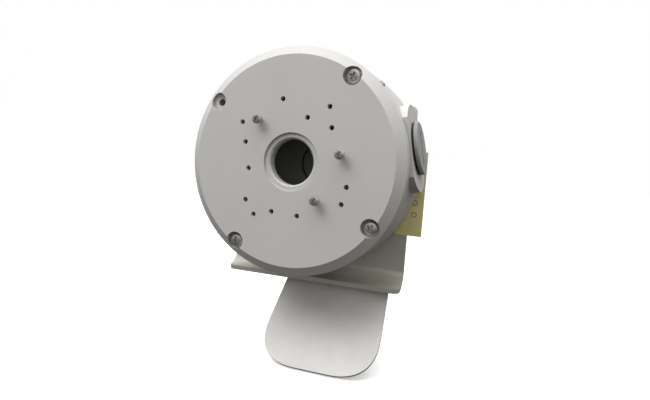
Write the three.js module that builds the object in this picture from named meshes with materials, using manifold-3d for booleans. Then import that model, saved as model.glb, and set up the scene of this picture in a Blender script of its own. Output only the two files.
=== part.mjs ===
// A round die-cast junction box for a surveillance camera, screwed to a folded stainless bracket.
//
// Millimetres. +X is to the right of someone facing the box, +Z is up, and the box faces -Y.
// The origin lies on the box's own axis, in the plane of the bracket's rearmost flat face.
// Places along the axis are given as "forward" distances from that plane, so y = -forward.

import * as THREE from 'three';
import { mergeVertices } from 'three/addons/utils/BufferGeometryUtils.js';
import Module from 'manifold-3d';

const wasm = await Module();
wasm.setup();

// ---------------------------------------------------------------- driving dimensions

const fitGap = 0.3;              // clearance between pieces that touch
const overcut = 1;               // how far a cutting tool runs past the face it opens
const tau = Math.PI * 2;

// box as a whole
const boxDepth = 53;             // back of the housing to the face of the cover
const boxTurn = 11.3;            // degrees the box is turned on the bracket, anticlockwise from the front

// cover
const coverRadius = 67;
const coverDepth = 12;           // face to the lower edge of the skirt
const bevelWidth = 5.5;          // rim to the flat face
const bevelDepth = 4;
const coverPlate = 3.5;          // thickness of the face
const landDepth = 8;             // face to the land that presses on the gasket
const landMargin = 0.3;          // land's inner edge, inside the screw posts
const skirtWall = 1.6;
const boreRadius = 13.5;         // cable bore in the middle of the cover
const boreSeatRadius = 17;       // shallow recess around the bore
const boreSeatDepth = 1.4;
const boreCollarWall = 4;
const boreCollarDepth = 7.5;     // face to the inner end of the collar
const lugRadius = 1.4;           // two small prising lugs on the skirt
const lugAngles = [33, 213];

// drilling pattern for camera bases: circle radius, number of holes, angle of the first
const pilotRadius = 1.5;
const pilotCircles = [
  { radius: 39, count: 4, first: 45 },
  { radius: 31.4, count: 3, first: 0 },
  { radius: 31.4, count: 3, first: 30 },
  { radius: 27.3, count: 3, first: 60 },
  { radius: 36.6, count: 3, first: 90 },
];

// cover screws, M4 pan head, in counterbores at the corners of a square
const coverScrewInset = 7.2;     // rim to the screw's axis
const coverScrewFirst = 45;
const coverScrewNames = ['upper_right', 'upper_left', 'lower_left', 'lower_right'];
const missingCoverScrew = 'upper_left';
const counterboreRadius = 5.4;
const counterboreDepth = 4.5;
const m4Shank = 1.9;
const m4Head = 4;
const m4HeadHeight = 2.8;
const coverScrewLength = 16;
const keeperRadius = 3.6;        // ring that keeps the screw in the cover
const keeperThickness = 1;

// camera screws, M3 pan head, left standing proud of the cover
const m3Shank = 1.2;
const m3Head = 3;
const m3HeadHeight = 2.4;
const cameraScrewStand = 3.6;    // cover face to the underside of the head
const cameraScrewLength = 12;
const cameraScrewPlaces = [
  { name: 'camera_screw_right', circle: 1, hole: 0 },
  { name: 'camera_screw_upper_left', circle: 1, hole: 1 },
  { name: 'camera_screw_lower', circle: 3, hole: 2 },
];

// housing
const housingWall = 5.5;
const housingFloor = 3;
const housingEdge = 2;           // bevel round the back edge
const rimGap = 0.6;              // housing rim to the cover's land
const skirtGap = 0.6;            // housing's body to the edge of the cover's skirt
const postRadius = 7.5;          // screw posts, measured from the screw's axis
const postHoleDepth = 16;
const gasketWidth = 1.4;
const gasketInset = 3.4;         // housing's outer surface to the middle of the gasket
const gasketDetour = 5;          // screw's axis to the middle of the gasket
const gasketThickness = 1.4;
const gasketProud = 0.3;         // gasket above the rim

// side conduit entry and its plug
const entryAngle = 0;            // degrees from the box's own right-hand side
const entryWall = 13;            // pad round the bore
const entryProud = 0.6;          // face of the pad beyond the housing's body
const entryLength = 11.3;        // face of the pad to its inner end
const entryBore = 13;
const plugFlange = 3;            // plug's head beyond the bore
const plugHeadThickness = 2;
const plugStubLength = 9;
const plugStubWall = 3;
const plugSlotLength = 20;
const plugSlotWidth = 2.4;
const plugSlotDepth = 1.2;
const sealThickness = 0.8;
const sealWidth = 2.6;

// earth terminal inside the housing
const earthAngle = 190;
const earthCircle = 40;
const earthPostRadius = 4.5;
const earthPostHeight = 6;
const earthScrewLength = 6;
const earthWasherRadius = 4.2;
const earthWasherThickness = 0.8;

// screws that hold the housing on the bracket, M5 pan head
const mountCircle = 36;
const mountCount = 4;
const mountFirst = 30;
const m5Shank = 2.4;
const m5Head = 4.6;
const m5HeadHeight = 3;
const mountWasherRadius = 5;
const mountWasherThickness = 1;

// rear gasket between the housing and the bracket
const rearGasketRadius = 46;
const rearGasketThickness = 1.5;
const rearBoreRadius = 14;       // rear entry through floor and gasket, closed by the plate

// bracket plate with its forward lip
const plateThickness = 3;
const plateHalfWidth = 61;
const plateTop = 40.5;           // above the box's axis
const plateTopCorner = 3;
const lipClearance = 8.5;        // rim of the cover to the upper face of the lip
const lipDepth = 12;             // front of the plate to the front edge of the lip
const lipBend = 10;              // inside radius of the fold
const lipCorner = 5;

// leaf riveted behind the plate, folded forward under the lip
const leafThickness = 2;
const leafCentre = 17.7;         // to the right of the box's axis
const leafWidth = 70;            // at the fold
const leafUpstand = 31;          // flat part above the fold
const leafLean = 42;             // degrees forward of straight down
const leafFlare = 3.4;           // degrees that each side opens
const leafBend = 6;              // inside radius of the fold
const leafFoldRise = 7;          // start of the leaf's fold above the lip
const leafLength = 70;           // end of the fold to the rounded end
const leafCorner = 30;

// flush rivets
const rivetMargin = 5;           // leaf's upper edge to the rivets
const rivetPitch = 22;
const rivetCount = 3;
const rivetShank = 1.8;
const rivetHead = 3.2;
const rivetHeadDepth = 1.2;
const rivetTail = 3;             // tail set in the leaf's back
const rivetTailHeight = 1;
const rivetSink = 0.2;           // rivet head and tail below their faces

// marking strip stuck on the plate's right edge
const stripWidth = 17;
const stripOverhang = 9.5;       // beyond the plate's edge
const stripBottom = -42;
const stripTop = 12;
const stripThickness = 0.6;

// ---------------------------------------------------------------- stations along the axis

const plateBack = leafThickness + fitGap;
const plateFront = plateBack + plateThickness;
const rearGasketBack = plateFront + fitGap;
const housingBack = rearGasketBack + rearGasketThickness + fitGap;
const floorFront = housingBack + housingFloor;
const face = housingBack + boxDepth;
const skirtEdge = face - coverDepth;
const land = face - landDepth;
const rim = land - rimGap;
const counterboreFloor = face - counterboreDepth;
const housingRadius = coverRadius - skirtWall - fitGap;
const cavityRadius = housingRadius - housingWall;
const faceRadius = coverRadius - bevelWidth;
const coverScrewCircle = coverRadius - coverScrewInset;
const landInnerRadius = coverScrewCircle - postRadius - landMargin;
const entryForward = (housingBack + skirtEdge) / 2;
const entryRadius = entryBore + entryWall;
const entryFace = coverRadius + entryProud;
const entryInnerEnd = entryFace - entryLength;
const plugHeadRadius = entryBore + plugFlange;
const sealOuterRadius = entryBore + sealWidth;
const lipFront = plateFront + lipDepth;
const lipTop = -coverRadius - lipClearance;
const leafFold = lipTop + leafFoldRise;
const leafTop = leafFold + leafUpstand;
const rivetRow = leafTop - rivetMargin;
const stripRight = plateHalfWidth + stripOverhang;
const stripLeft = stripRight - stripWidth;

// ---------------------------------------------------------------- small helpers

const radians = (degrees) => degrees * tau / 360;

/** Number of sides that keeps a circle of this radius round enough. */
const sidesFor = (radius) => 4 * Math.round(Math.min(18, 2.6 + radius / 4));

/** Point at a radius and angle round the box's axis, as x and z. */
function polar(radius, degrees) {
  return [radius * Math.cos(radians(degrees)), radius * Math.sin(radians(degrees))];
}

/** Angles of a ring of holes, turned with the box. */
function ring(count, first, turn = boxTurn) {
  return Array.from({ length: count }, (_, i) => turn + first + i * 360 / count);
}

/** three.js geometry to a manifold solid. */
function toSolid(geometry) {
  const bare = geometry.clone();
  bare.deleteAttribute('normal');
  bare.deleteAttribute('uv');
  const merged = mergeVertices(bare, 1e-4);
  return new wasm.Manifold(new wasm.Mesh({
    numProp: 3,
    vertProperties: new Float32Array(merged.attributes.position.array),
    triVerts: new Uint32Array(merged.index.array),
  }));
}

/** Manifold solid back to three.js geometry. */
function toGeometry(solid) {
  const mesh = solid.getMesh();
  const geometry = new THREE.BufferGeometry();
  geometry.setAttribute('position', new THREE.BufferAttribute(new Float32Array(mesh.vertProperties), 3));
  geometry.setIndex(new THREE.BufferAttribute(new Uint32Array(mesh.triVerts), 1));
  geometry.computeVertexNormals();
  return geometry;
}

/** Body with tools added to it, then others cut away. */
function shaped(body, added, removed) {
  let solid = toSolid(body);
  for (const tool of added) solid = solid.add(toSolid(tool));
  for (const tool of removed) solid = solid.subtract(toSolid(tool));
  return toGeometry(solid);
}

/** Solid of revolution about the box's axis; the profile holds [radius, forward] pairs, anticlockwise. */
function revolve(profile, sides) {
  const points = profile.map(([radius, forward]) => new THREE.Vector2(radius, forward));
  return new THREE.LatheGeometry(points, sides).rotateX(Math.PI);
}

/** Round bar along the box's axis. */
function bar(radius, back, front, [x, z] = [0, 0], sides = sidesFor(radius)) {
  const length = front - back;
  return new THREE.CylinderGeometry(radius, radius, length, sides).translate(x, -(back + front) / 2, z);
}

/** Flat ring along the box's axis. */
function washer(inner, outer, back, front, [x, z] = [0, 0]) {
  const profile = [[inner, back], [outer, back], [outer, front], [inner, front], [inner, back]];
  return revolve(profile, sidesFor(outer)).translate(x, 0, z);
}

/** Outline in the x-z plane, extruded forward. */
function slab(shape, back, front) {
  const options = { depth: front - back, bevelEnabled: false, curveSegments: 8 };
  return new THREE.ExtrudeGeometry(shape, options).rotateX(Math.PI / 2).translate(0, -back, 0);
}

/** Side profile in [forward, z], extruded from left to right. */
function foldedSheet(shape, left, right) {
  const options = { depth: right - left, bevelEnabled: false, curveSegments: 10 };
  const basis = new THREE.Matrix4().makeBasis(
    new THREE.Vector3(0, -1, 0),
    new THREE.Vector3(0, 0, 1),
    new THREE.Vector3(-1, 0, 0),
  );
  return new THREE.ExtrudeGeometry(shape, options).applyMatrix4(basis).translate(right, 0, 0);
}

/** Closed outline: a circle that is pushed in round each screw post. */
function lobedShape(radius, notch) {
  const sum = radius ** 2 + coverScrewCircle ** 2 - notch ** 2;
  const half = Math.acos(sum / (2 * radius * coverScrewCircle));
  const outline = new THREE.Path();
  const angles = ring(4, coverScrewFirst).map(radians);
  for (const angle of angles) {
    const [x, z] = [coverScrewCircle * Math.cos(angle), coverScrewCircle * Math.sin(angle)];
    const enter = Math.atan2(radius * Math.sin(angle - half) - z, radius * Math.cos(angle - half) - x);
    const leave = Math.atan2(radius * Math.sin(angle + half) - z, radius * Math.cos(angle + half) - x);
    outline.absarc(x, z, notch, enter, leave, true);
    outline.absarc(0, 0, radius, angle + half, angle + tau / 4 - half, false);
  }
  return new THREE.Shape(outline.getPoints(8));
}

/** Pan-head screw pointing into the box, its head's underside at the given station. */
function panScrew({ shank, head, headHeight, length, underHead, place }) {
  const crown = headHeight * 0.3;
  const profile = [
    [0, underHead - length],
    [shank * 0.6, underHead - length],
    [shank, underHead - length + shank * 0.6],
    [shank, underHead],
    [head, underHead],
    [head, underHead + headHeight - crown],
    [head * 0.7, underHead + headHeight],
    [0, underHead + headHeight],
  ];
  const top = underHead + headHeight + overcut;
  const recess = headHeight * 0.55 + overcut;
  const arm = new THREE.BoxGeometry(head * 1.1, recess, head * 0.24).translate(0, recess / 2 - top, 0);
  const cross = arm.clone().rotateY(Math.PI / 2);
  const screw = shaped(revolve(profile, sidesFor(head)), [], [arm, cross]);
  return screw.translate(place[0], 0, place[1]);
}

/** Sideways piece made about the entry's own axis, with heights measured from the box's axis. */
function onEntryAxis(geometry) {
  return geometry
    .rotateZ(-Math.PI / 2)
    .rotateY(-radians(boxTurn + entryAngle))
    .translate(0, -entryForward, 0);
}

/** Solid of revolution about the entry's axis, [radius, distance from the box's axis] pairs. */
function revolveOnEntry(profile, sides) {
  const points = profile.map(([radius, out]) => new THREE.Vector2(radius, out));
  return onEntryAxis(new THREE.LatheGeometry(points, sides));
}

// ---------------------------------------------------------------- finishes

const finish = {
  castGrey: { color: 0xbdbcb8, roughness: 0.5, metalness: 0.1 },
  screwSteel: { color: 0xb9b6ae, roughness: 0.3, metalness: 1 },
  stainless: { color: 0xb4b2aa, roughness: 0.25, metalness: 1 },
  leafSteel: { color: 0xd8d6cf, roughness: 0.4, metalness: 1 },
  blackRubber: { color: 0x202124, roughness: 0.85, metalness: 0 },
  nylon: { color: 0xe6e2d6, roughness: 0.6, metalness: 0 },
  plugGrey: { color: 0x8a8a88, roughness: 0.55, metalness: 0 },
  brass: { color: 0xb08d4a, roughness: 0.35, metalness: 1 },
  yellow: { color: 0xa8984f, roughness: 0.6, metalness: 0 },
};

const part = new THREE.Group();

function addPiece(name, geometry, material) {
  const mesh = new THREE.Mesh(geometry, new THREE.MeshStandardMaterial(material));
  mesh.name = name;
  part.add(mesh);
}

// ---------------------------------------------------------------- places shared by pieces

const coverScrewPlaces = ring(4, coverScrewFirst)
  .map((angle, i) => ({ name: coverScrewNames[i], place: polar(coverScrewCircle, angle) }));
const fittedCoverScrews = coverScrewPlaces.filter(({ name }) => name !== missingCoverScrew);
const pilotPlaces = pilotCircles
  .map(({ radius, count, first }) => ring(count, first).map((angle) => polar(radius, angle)));
const mountPlaces = ring(mountCount, mountFirst).map((angle) => polar(mountCircle, angle));
const earthPlace = polar(earthCircle, boxTurn + earthAngle);
const rivetPlaces = Array.from({ length: rivetCount }, (_, i) =>
  [leafCentre + (i - (rivetCount - 1) / 2) * rivetPitch, rivetRow]);

// ---------------------------------------------------------------- cover

function frontCover() {
  const skirtInner = coverRadius - skirtWall;
  const collarRadius = boreRadius + boreCollarWall;
  const body = revolve([
    [boreRadius, face - boreCollarDepth],
    [collarRadius, face - boreCollarDepth],
    [collarRadius, face - coverPlate],
    [landInnerRadius, face - coverPlate],
    [landInnerRadius, land],
    [skirtInner, land],
    [skirtInner, skirtEdge],
    [coverRadius, skirtEdge],
    [coverRadius, face - bevelDepth],
    [faceRadius, face],
    [boreSeatRadius, face],
    [boreSeatRadius, face - boreSeatDepth],
    [boreRadius, face - boreSeatDepth],
    [boreRadius, face - boreCollarDepth],
  ], sidesFor(coverRadius));
  const lugTop = skirtEdge + coverDepth / 2;
  const lugs = lugAngles.map((angle) =>
    bar(lugRadius, skirtEdge, lugTop, polar(coverRadius, angle + boxTurn), 8));
  const cuts = pilotPlaces.flat().map((place) => bar(pilotRadius, land, face + overcut, place, 10));
  for (const { place } of coverScrewPlaces) {
    cuts.push(bar(counterboreRadius, counterboreFloor, face + overcut, place));
    cuts.push(bar(m4Shank + fitGap, land - overcut, face, place));
    cuts.push(bar(keeperRadius + fitGap, land - overcut, land + keeperThickness + 2 * fitGap, place));
  }
  return shaped(body, lugs, cuts);
}

function coverScrew(place) {
  return panScrew({
    shank: m4Shank,
    head: m4Head,
    headHeight: m4HeadHeight,
    length: coverScrewLength,
    underHead: counterboreFloor + fitGap,
    place,
  });
}

function cameraScrew(place) {
  return panScrew({
    shank: m3Shank,
    head: m3Head,
    headHeight: m3HeadHeight,
    length: cameraScrewLength,
    underHead: face + cameraScrewStand,
    place,
  });
}

// ---------------------------------------------------------------- housing

const grooveFloor = rim + gasketProud - gasketThickness - fitGap;
const gasketCircle = housingRadius - gasketInset;

/** Ring that follows the housing's rim and passes inside the screw posts. */
function rimRing(width, back, front) {
  const outline = lobedShape(gasketCircle + width / 2, gasketDetour - width / 2);
  outline.holes.push(lobedShape(gasketCircle - width / 2, gasketDetour + width / 2));
  return slab(outline, back, front);
}

function rearHousing() {
  const shell = revolve([
    [0, housingBack],
    [coverRadius - housingEdge, housingBack],
    [coverRadius, housingBack + housingEdge],
    [coverRadius, skirtEdge - skirtGap],
    [housingRadius, skirtEdge - skirtGap],
    [housingRadius, rim],
    [0, rim],
  ], sidesFor(coverRadius));
  const pad = toSolid(revolveOnEntry(
    [[0, entryInnerEnd], [entryRadius, entryInnerEnd], [entryRadius, entryFace], [0, entryFace]],
    sidesFor(entryRadius),
  )).intersect(toSolid(bar(entryFace + entryRadius, housingBack, skirtEdge - skirtGap)));
  const entryHole = revolveOnEntry(
    [[0, entryInnerEnd - overcut], [entryBore, entryInnerEnd - overcut], [entryBore, entryFace + overcut],
      [0, entryFace + overcut]],
    sidesFor(entryBore),
  );
  const cavity = slab(lobedShape(cavityRadius, postRadius), floorFront, rim + overcut);
  const groove = rimRing(gasketWidth + 2 * fitGap, grooveFloor, rim + overcut);
  const earthPost = bar(earthPostRadius, floorFront - overcut, floorFront + earthPostHeight, earthPlace);
  const earthTop = floorFront + earthPostHeight;
  const holes = [
    bar(rearBoreRadius, housingBack - overcut, floorFront + overcut),
    bar(m4Shank + fitGap, earthTop - earthScrewLength, earthTop + overcut, earthPlace),
    ...coverScrewPlaces.map(({ place }) => bar(m4Shank + fitGap, rim - postHoleDepth, rim + overcut, place)),
    ...mountPlaces.map((place) => bar(m5Shank + fitGap, housingBack - overcut, floorFront + overcut, place)),
  ];
  const hollow = shaped(shell, [], [cavity]);
  return shaped(hollow, [toGeometry(pad), earthPost], [entryHole, groove, ...holes]);
}

// ---------------------------------------------------------------- side entry plug

const sealBack = entryFace + fitGap;
const plugHeadBack = sealBack + sealThickness + fitGap;

function sidePlug() {
  const stub = entryBore - fitGap;
  const headFront = plugHeadBack + plugHeadThickness;
  const body = revolveOnEntry([
    [0, plugHeadBack - plugStubWall + plugHeadThickness],
    [stub - plugStubWall, plugHeadBack - plugStubWall + plugHeadThickness],
    [stub - plugStubWall, plugHeadBack - plugStubLength],
    [stub, plugHeadBack - plugStubLength],
    [stub, plugHeadBack],
    [plugHeadRadius, plugHeadBack],
    [plugHeadRadius, headFront - 0.8],
    [plugHeadRadius - 0.8, headFront],
    [0, headFront],
  ], sidesFor(plugHeadRadius));
  const slot = onEntryAxis(new THREE.BoxGeometry(plugSlotWidth, plugSlotDepth + overcut, plugSlotLength)
    .translate(0, headFront - plugSlotDepth + (plugSlotDepth + overcut) / 2, 0));
  return shaped(body, [], [slot]);
}

function sidePlugSeal() {
  return revolveOnEntry([
    [entryBore, sealBack],
    [sealOuterRadius, sealBack],
    [sealOuterRadius, sealBack + sealThickness],
    [entryBore, sealBack + sealThickness],
    [entryBore, sealBack],
  ], sidesFor(sealOuterRadius));
}

// ---------------------------------------------------------------- earth terminal

const earthWasherBack = floorFront + earthPostHeight + fitGap;
const earthWasherFront = earthWasherBack + earthWasherThickness;

function earthScrew() {
  return panScrew({
    shank: m4Shank,
    head: m4Head,
    headHeight: m4HeadHeight,
    length: earthScrewLength,
    underHead: earthWasherFront + fitGap,
    place: earthPlace,
  });
}

// ---------------------------------------------------------------- fixing to the bracket

const mountWasherBack = floorFront + fitGap;
const mountWasherFront = mountWasherBack + mountWasherThickness;

function mountScrew(place) {
  const underHead = mountWasherFront + fitGap;
  return panScrew({
    shank: m5Shank,
    head: m5Head,
    headHeight: m5HeadHeight,
    length: underHead - plateBack,
    underHead,
    place,
  });
}

function rearGasket() {
  const disc = washer(rearBoreRadius, rearGasketRadius, rearGasketBack, rearGasketBack + rearGasketThickness);
  const holes = mountPlaces
    .map((place) => bar(m5Shank + fitGap, rearGasketBack - overcut, housingBack + overcut, place));
  return shaped(disc, [], holes);
}

// ---------------------------------------------------------------- bracket

/** Plan view of the plate and its lip: keeps everything behind, rounds the two front corners. */
function lipPlan() {
  const plan = new THREE.Shape();
  plan.moveTo(-plateHalfWidth, -overcut);
  plan.lineTo(plateHalfWidth, -overcut);
  plan.lineTo(plateHalfWidth, lipFront - lipCorner);
  plan.absarc(plateHalfWidth - lipCorner, lipFront - lipCorner, lipCorner, 0, tau / 4, false);
  plan.absarc(-plateHalfWidth + lipCorner, lipFront - lipCorner, lipCorner, tau / 4, tau / 2, false);
  plan.closePath();
  const height = plateTop - lipTop + 4 * plateThickness;
  return new THREE.ExtrudeGeometry(plan, { depth: height, bevelEnabled: false, curveSegments: 6 })
    .rotateX(Math.PI)
    .translate(0, 0, plateTop + plateThickness);
}

/** Front view of the plate: rounds the two top corners. */
function plateOutline() {
  const bottom = lipTop - 2 * plateThickness;
  const outline = new THREE.Shape();
  outline.moveTo(-plateHalfWidth, bottom);
  outline.lineTo(plateHalfWidth, bottom);
  outline.lineTo(plateHalfWidth, plateTop - plateTopCorner);
  const [x, z] = [plateHalfWidth - plateTopCorner, plateTop - plateTopCorner];
  outline.absarc(x, z, plateTopCorner, 0, tau / 4, false);
  outline.absarc(-x, z, plateTopCorner, tau / 4, tau / 2, false);
  outline.closePath();
  return slab(outline, 0, lipFront + overcut);
}

function bracketPlate() {
  const bendCentre = [plateFront + lipBend, lipTop + lipBend];
  const profile = new THREE.Shape();
  profile.moveTo(plateBack, plateTop);
  profile.lineTo(plateBack, bendCentre[1]);
  profile.absarc(...bendCentre, lipBend + plateThickness, tau / 2, tau * 3 / 4, false);
  profile.lineTo(lipFront, lipTop - plateThickness);
  profile.lineTo(lipFront, lipTop);
  profile.absarc(...bendCentre, lipBend, tau * 3 / 4, tau / 2, true);
  profile.lineTo(plateFront, plateTop);
  profile.closePath();
  let solid = toSolid(foldedSheet(profile, -plateHalfWidth, plateHalfWidth));
  solid = solid.intersect(toSolid(lipPlan())).intersect(toSolid(plateOutline()));
  const through = [plateBack - overcut, plateFront + overcut];
  const cuts = [
    ...mountPlaces.map((place) => bar(m5Shank + fitGap, ...through, place)),
    ...rivetPlaces.map((place) => rivetHole(place)),
  ];
  for (const cut of cuts) solid = solid.subtract(toSolid(cut));
  return toGeometry(solid);
}

/** Hole for a flush rivet through leaf and plate, countersunk at both ends. */
function rivetHole([x, z]) {
  const headFront = plateFront + overcut;
  const spread = rivetHead + fitGap;
  const tailSpread = rivetTail + fitGap;
  return revolve([
    [0, -overcut],
    [tailSpread, -overcut],
    [tailSpread, rivetSink],
    [rivetShank + fitGap, rivetSink + rivetTailHeight + fitGap],
    [rivetShank + fitGap, plateFront - rivetSink - rivetHeadDepth - fitGap],
    [spread, plateFront - rivetSink],
    [spread, headFront],
    [0, headFront],
  ], sidesFor(rivetHead)).translate(x, 0, z);
}

function rivet([x, z]) {
  const headFront = plateFront - rivetSink;
  return revolve([
    [0, rivetSink],
    [rivetTail, rivetSink],
    [rivetShank, rivetSink + rivetTailHeight],
    [rivetShank, headFront - rivetHeadDepth],
    [rivetHead, headFront],
    [0, headFront],
  ], sidesFor(rivetHead)).translate(x, 0, z);
}

/** Outline of the leaf seen square to its sloping blade; v runs up the blade from the end of the fold. */
function leafOutline() {
  const half = leafWidth / 2;
  const spread = Math.tan(radians(leafFlare));
  const endHalf = half + leafLength * spread;
  const reach = leafThickness + leafBend + (leafTop - leafFold) + overcut;
  const corner = leafCorner * Math.tan(radians(90 - leafFlare) / 2);
  const side = endHalf - corner * Math.sin(radians(leafFlare));
  const sideEnd = -leafLength + corner * Math.cos(radians(leafFlare));
  const outline = new THREE.Shape();
  outline.moveTo(half, reach);
  outline.lineTo(half, 0);
  outline.lineTo(side, sideEnd);
  outline.quadraticCurveTo(endHalf, -leafLength, endHalf - corner, -leafLength);
  outline.lineTo(-endHalf + corner, -leafLength);
  outline.quadraticCurveTo(-endHalf, -leafLength, -side, sideEnd);
  outline.lineTo(-half, 0);
  outline.lineTo(-half, reach);
  outline.closePath();
  return outline;
}

function bracketLeaf() {
  const lean = radians(leafLean);
  const [sin, cos] = [Math.sin(lean), Math.cos(lean)];
  const centre = [leafThickness + leafBend, leafFold];
  const outer = leafBend + leafThickness;
  const foldEnd = (radius) => [centre[0] - radius * cos, centre[1] - radius * sin];
  const bladeEnd = ([forward, z]) => [forward + leafLength * sin, z - leafLength * cos];
  const profile = new THREE.Shape();
  profile.moveTo(0, leafTop);
  profile.lineTo(0, leafFold);
  profile.absarc(...centre, outer, tau / 2, tau / 2 + lean, false);
  profile.lineTo(...bladeEnd(foldEnd(outer)));
  profile.lineTo(...bladeEnd(foldEnd(leafBend)));
  profile.absarc(...centre, leafBend, tau / 2 + lean, tau / 2, true);
  profile.lineTo(leafThickness, leafTop);
  profile.closePath();
  const widest = leafWidth + 2 * leafLength * Math.tan(radians(leafFlare)) + overcut;
  const sheet = foldedSheet(profile, leafCentre - widest / 2, leafCentre + widest / 2);
  const depth = 4 * (leafTop - leafFold);
  const [forward, z] = foldEnd(leafBend);
  const cutter = new THREE.ExtrudeGeometry(leafOutline(), { depth, bevelEnabled: false, curveSegments: 12 })
    .translate(0, 0, -depth / 2)
    .rotateX(Math.PI / 2 - lean)
    .translate(leafCentre, -forward, z);
  let solid = toSolid(sheet).intersect(toSolid(cutter));
  for (const place of rivetPlaces) solid = solid.subtract(toSolid(rivetHole(place)));
  return toGeometry(solid);
}

function markingStrip() {
  const outline = new THREE.Shape([
    new THREE.Vector2(stripLeft, stripBottom),
    new THREE.Vector2(stripRight, stripBottom),
    new THREE.Vector2(stripRight, stripTop),
    new THREE.Vector2(stripLeft, stripTop),
  ]);
  return slab(outline, plateFront + fitGap, plateFront + fitGap + stripThickness);
}

// ---------------------------------------------------------------- assembly

addPiece('front_cover', frontCover(), finish.castGrey);
addPiece('cover_gasket', rimRing(gasketWidth, grooveFloor + fitGap, rim + gasketProud), finish.blackRubber);
addPiece('rear_housing', rearHousing(), finish.castGrey);

for (const { name, place } of fittedCoverScrews) {
  addPiece(`cover_screw_${name}`, coverScrew(place), finish.screwSteel);
  const keeperBack = land + fitGap;
  const keeper = washer(m4Shank + fitGap, keeperRadius, keeperBack, keeperBack + keeperThickness, place);
  addPiece(`screw_keeper_${name}`, keeper, finish.nylon);
}

for (const { name, circle, hole } of cameraScrewPlaces) {
  addPiece(name, cameraScrew(pilotPlaces[circle][hole]), finish.screwSteel);
}

addPiece('side_plug', sidePlug(), finish.plugGrey);
addPiece('side_plug_seal', sidePlugSeal(), finish.blackRubber);

addPiece('earth_screw', earthScrew(), finish.brass);
const earthBore = m4Shank + fitGap;
addPiece(
  'earth_washer',
  washer(earthBore, earthWasherRadius, earthWasherBack, earthWasherFront, earthPlace),
  finish.brass,
);

mountPlaces.forEach((place, i) => {
  addPiece(`mount_screw_${i + 1}`, mountScrew(place), finish.screwSteel);
  const ringWasher = washer(m5Shank + fitGap, mountWasherRadius, mountWasherBack, mountWasherFront, place);
  addPiece(`mount_washer_${i + 1}`, ringWasher, finish.screwSteel);
});

addPiece('rear_gasket', rearGasket(), finish.blackRubber);
addPiece('bracket_plate', bracketPlate(), finish.stainless);
addPiece('bracket_leaf', bracketLeaf(), finish.leafSteel);
rivetPlaces.forEach((place, i) => addPiece(`leaf_rivet_${i + 1}`, rivet(place), finish.stainless));
addPiece('marking_strip', markingStrip(), finish.yellow);

export default part;
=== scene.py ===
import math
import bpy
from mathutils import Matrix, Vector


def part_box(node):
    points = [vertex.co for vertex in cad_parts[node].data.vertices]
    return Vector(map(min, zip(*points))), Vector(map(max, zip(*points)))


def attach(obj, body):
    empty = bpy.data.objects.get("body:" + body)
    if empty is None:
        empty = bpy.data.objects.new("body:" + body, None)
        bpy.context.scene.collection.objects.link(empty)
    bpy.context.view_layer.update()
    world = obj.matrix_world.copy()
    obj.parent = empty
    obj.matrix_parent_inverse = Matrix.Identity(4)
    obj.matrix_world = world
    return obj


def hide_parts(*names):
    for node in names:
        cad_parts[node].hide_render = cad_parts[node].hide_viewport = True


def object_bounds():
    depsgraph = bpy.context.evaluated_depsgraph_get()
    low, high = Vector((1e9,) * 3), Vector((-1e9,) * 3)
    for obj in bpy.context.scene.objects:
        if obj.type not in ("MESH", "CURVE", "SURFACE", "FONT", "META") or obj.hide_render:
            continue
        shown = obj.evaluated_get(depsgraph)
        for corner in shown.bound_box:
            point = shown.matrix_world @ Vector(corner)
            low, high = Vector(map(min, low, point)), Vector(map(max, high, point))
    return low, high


bl_info = {
    "name": "Camera junction box",
    "version": (1, 0, 0),
    "blender": (4, 5, 0),
    "location": "View3D > Sidebar > Junction box",
    "description": "Round cast junction box on a folded steel bracket, built piece by piece",
    "category": "Object",
}

import bpy
from bpy.props import FloatProperty, FloatVectorProperty, IntProperty, PointerProperty
from mathutils import Matrix, Vector

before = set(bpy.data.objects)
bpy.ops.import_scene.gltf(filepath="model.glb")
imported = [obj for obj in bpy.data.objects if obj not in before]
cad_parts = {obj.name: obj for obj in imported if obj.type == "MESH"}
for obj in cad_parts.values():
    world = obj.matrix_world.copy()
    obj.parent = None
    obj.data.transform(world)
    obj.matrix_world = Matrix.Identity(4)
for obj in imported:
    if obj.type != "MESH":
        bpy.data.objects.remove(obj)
cad_box = [list(corner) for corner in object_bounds()]

# The box's own axis runs along Y through the origin, and the box faces -Y.
# "forward" below is the distance along the axis towards the face: forward = -y. Metres throughout.
MM = 0.001
OVERCUT = 1 * MM
FACE = -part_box("front_cover")[0].y
SKIRT_EDGE = -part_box("front_cover")[1].y
COVER_RADIUS = -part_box("front_cover")[0].x
HALF_TURN = math.pi
QUARTER_TURN = math.pi / 2


# ------------------------------------------------------------------ what a user can change

def length(name, description, value):
    """A length property, in metres."""
    return FloatProperty(name=name, description=description, default=value, min=0.0, unit="LENGTH",
                         precision=5)


def colour(name, description, value):
    """A colour property."""
    return FloatVectorProperty(name=name, description=description, default=value, size=3,
                               min=0.0, max=1.0, subtype="COLOR")


def share(name, description, value):
    """A factor from 0 to 1."""
    return FloatProperty(name=name, description=description, default=value, min=0.0, max=1.0,
                         subtype="FACTOR")


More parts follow.
